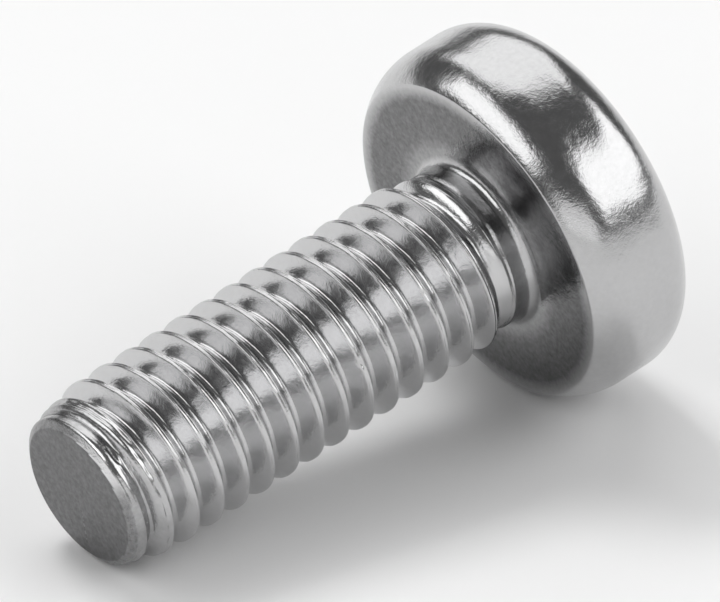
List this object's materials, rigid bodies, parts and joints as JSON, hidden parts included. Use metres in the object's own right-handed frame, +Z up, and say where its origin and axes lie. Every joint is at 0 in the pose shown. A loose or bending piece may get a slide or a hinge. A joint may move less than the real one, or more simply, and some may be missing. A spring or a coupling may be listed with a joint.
{
  "type": "machine screw",
  "caption": "Pan-head machine screw in bright plated steel, with a cross recess in its domed head and a rolled right-hand thread along its shank, lying on its side",
  "frame": {"origin": "centre of the flat face under the head, on the screw's own axis, where its length is measured from", "axes": "+Z up; +X level, from the tip towards the head; +Y level, across the screw. The screw lies on its side as it comes to rest, on the rim of its head and the first crests of its tip, so its own axis lies in the XZ plane and rises 11.2 degrees from the tip to the head"},
  "size_m": [0.021, 0.012, 0.012],
  "materials": {
    "plated_steel": "bright zinc plate over rolled and cold-formed steel"
  },
  "bodies": {
    "root": {"screw": "plated_steel"}
  },
  "joints": []
}
